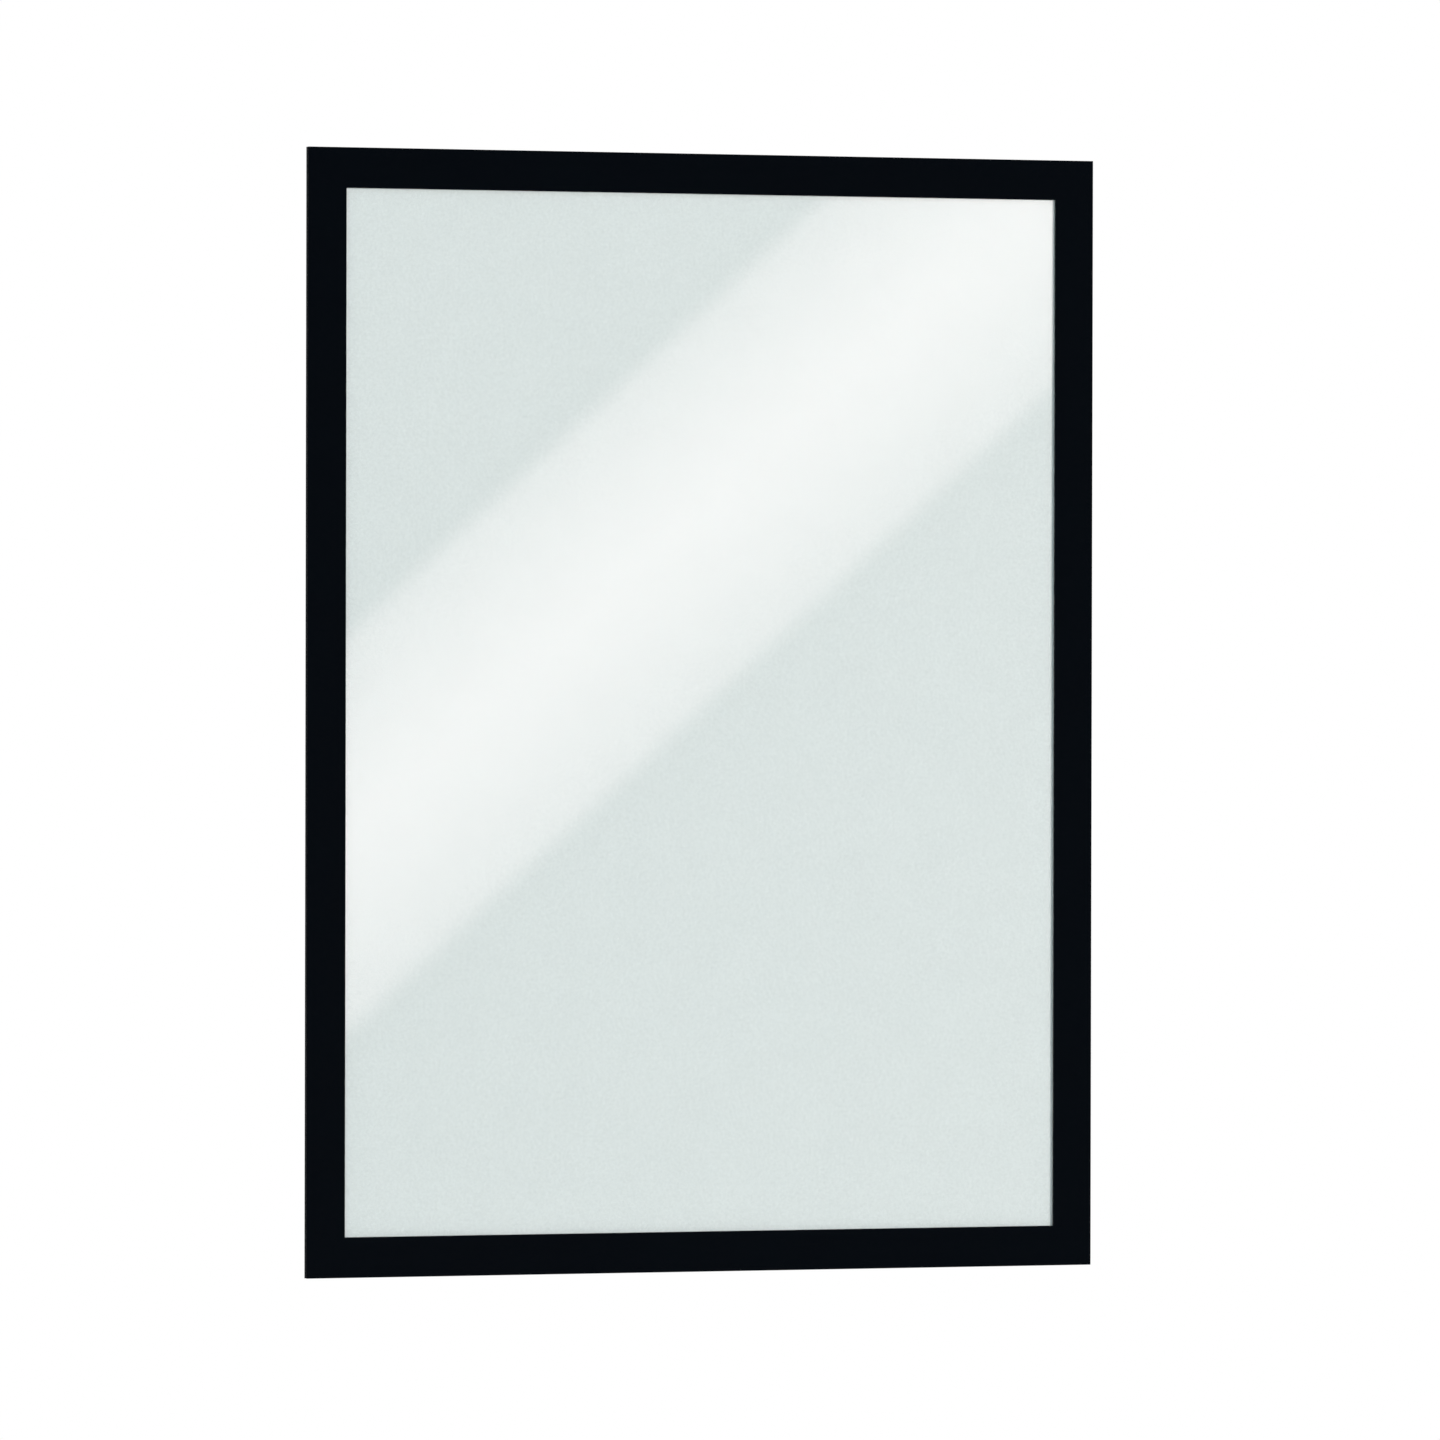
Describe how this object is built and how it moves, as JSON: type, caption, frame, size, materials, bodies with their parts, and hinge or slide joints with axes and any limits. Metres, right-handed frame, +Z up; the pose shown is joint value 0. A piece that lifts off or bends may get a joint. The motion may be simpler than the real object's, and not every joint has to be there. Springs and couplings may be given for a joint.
{
  "type": "magnetic poster holder",
  "caption": "Flat black-bordered A3 poster holder: a clear-windowed front leaf folds open on a film hinge along its left edge, and magnet strips on the back grip a steel surface.",
  "frame": {"origin": "centre of the closed holder's box", "axes": "+Z up along the long side, +X to the viewer's right, +Y into the wall; the front faces -Y"},
  "size_m": [0.325, 0.003, 0.445],
  "materials": {
    "facing_film": "matt black film with a very fine emboss",
    "magnet_strip": "calendered flexible magnet, dull dark brown-grey with satin slit edges",
    "window_film": "clear polished film",
    "hinge_film": "black polypropylene film, creased",
    "keeper_strip": "iron-filled rubber, satin dark grey",
    "insert_sheet": "blank pale sheet, uncoated",
    "back_film": "clear film, slightly hazy"
  },
  "bodies": {
    "rear_leaf": {"keeper_strip_top": "keeper_strip", "keeper_strip_bottom": "keeper_strip", "keeper_strip_left": "keeper_strip", "keeper_strip_right": "keeper_strip", "back_film": "back_film", "wall_magnet_top": "magnet_strip", "wall_magnet_bottom": "magnet_strip", "wall_magnet_left": "magnet_strip", "wall_magnet_right": "magnet_strip", "insert_sheet": "insert_sheet", "hinge_film": "hinge_film"},
    "front_leaf": {"front_facing": "facing_film", "front_magnet_top": "magnet_strip", "front_magnet_bottom": "magnet_strip", "front_magnet_left": "magnet_strip", "front_magnet_right": "magnet_strip", "window_film": "window_film"}
  },
  "joints": [
    {"name": "front_leaf_hinge", "type": "hinge", "parent": "rear_leaf", "child": "front_leaf", "pos_m": [-0.16235, -0.00007, 0], "axis": [0, 0, -1], "range_deg": [0, 175], "deforming": ["hinge_film"]}
  ]
}
